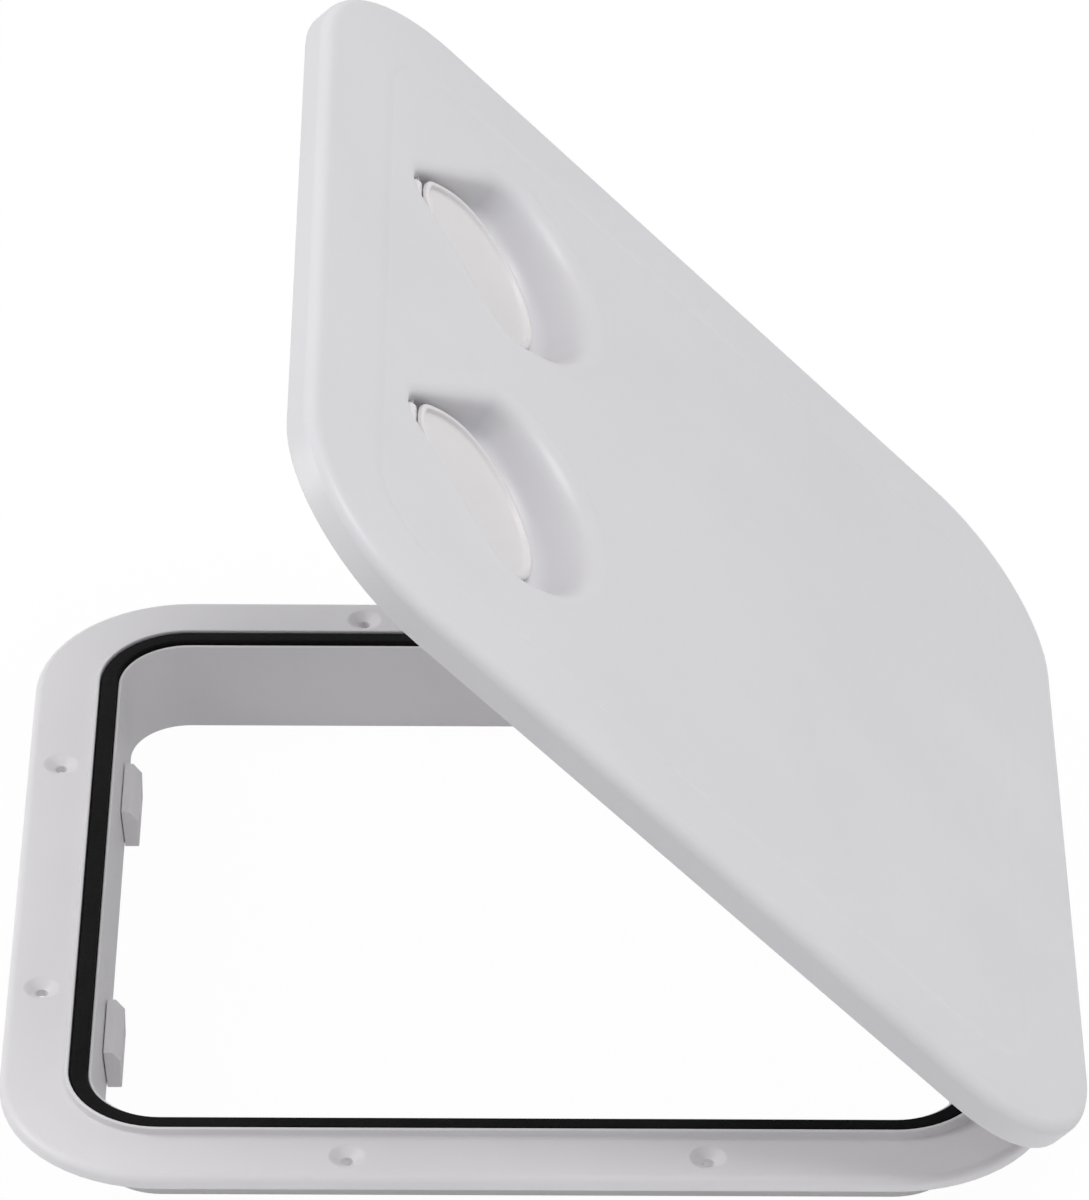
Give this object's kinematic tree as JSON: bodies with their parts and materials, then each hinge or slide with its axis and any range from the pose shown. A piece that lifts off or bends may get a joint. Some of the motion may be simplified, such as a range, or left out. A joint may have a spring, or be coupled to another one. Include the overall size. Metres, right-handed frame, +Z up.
{
  "type": "deck hatch",
  "caption": "Square hatch with a flanged frame that sits in a deck cut-out, a rubber gasket, and a hinged lid held shut by sprung latches in finger bowls.",
  "frame": {"origin": "middle of the bounding box, at the foot of the neck, with the lid resting open", "axes": "+X from the latch side to the hinge side, +Y along the hinge pins, +Z up out of the deck"},
  "size_m": [0.366, 0.3574, 0.3037],
  "materials": {
    "frame_plastic": "white moulded plastic, satin",
    "lid_plastic": "white moulded plastic, fine satin grain",
    "handle_plastic": "warm white moulded plastic, smooth satin",
    "housing_plastic": "black glass-filled nylon, matte",
    "gasket_rubber": "black rubber, matte",
    "stainless_steel": "stainless steel"
  },
  "bodies": {
    "frame": {"frame_body": "frame_plastic", "frame_gasket": "gasket_rubber", "hinge_pin_near": "stainless_steel", "hinge_pin_far": "stainless_steel", "keeper_near": "frame_plastic", "keeper_far": "frame_plastic", "keeper_screw_1": "stainless_steel", "keeper_screw_2": "stainless_steel", "keeper_screw_3": "stainless_steel", "keeper_screw_4": "stainless_steel"},
    "lid": {"lid_shell": "lid_plastic", "latch_housing_near": "housing_plastic", "latch_pivot_pin_near": "stainless_steel", "latch_spring_near": "stainless_steel", "housing_screw_near_a": "stainless_steel", "housing_screw_near_b": "stainless_steel", "latch_housing_far": "housing_plastic", "latch_pivot_pin_far": "stainless_steel", "latch_spring_far": "stainless_steel", "housing_screw_far_a": "stainless_steel", "housing_screw_far_b": "stainless_steel"},
    "latch_near": {"latch_handle_near": "handle_plastic", "latch_claw_near": "stainless_steel", "claw_screw_near": "stainless_steel"},
    "latch_far": {"latch_handle_far": "handle_plastic", "latch_claw_far": "stainless_steel", "claw_screw_far": "stainless_steel"}
  },
  "joints": [
    {"name": "lid_hinge", "type": "hinge", "parent": "frame", "child": "lid", "pos_m": [0.17495, 0, 0.0356], "axis": [0, 1, 0], "range_deg": [-46.24, 49.76]},
    {"name": "latch_near_pivot", "type": "hinge", "parent": "lid", "child": "latch_near", "pos_m": [-0.0447, -0.0645, 0.26527], "axis": [0, -1, 0], "range_deg": [0, 30], "stiffness_Nm_per_rad": 0.25, "springref_deg": -20.05, "deforming": ["latch_spring_near"]},
    {"name": "latch_far_pivot", "type": "hinge", "parent": "lid", "child": "latch_far", "pos_m": [-0.0447, 0.0755, 0.26527], "axis": [0, -1, 0], "range_deg": [0, 30], "stiffness_Nm_per_rad": 0.25, "springref_deg": -20.05, "deforming": ["latch_spring_far"]}
  ]
}
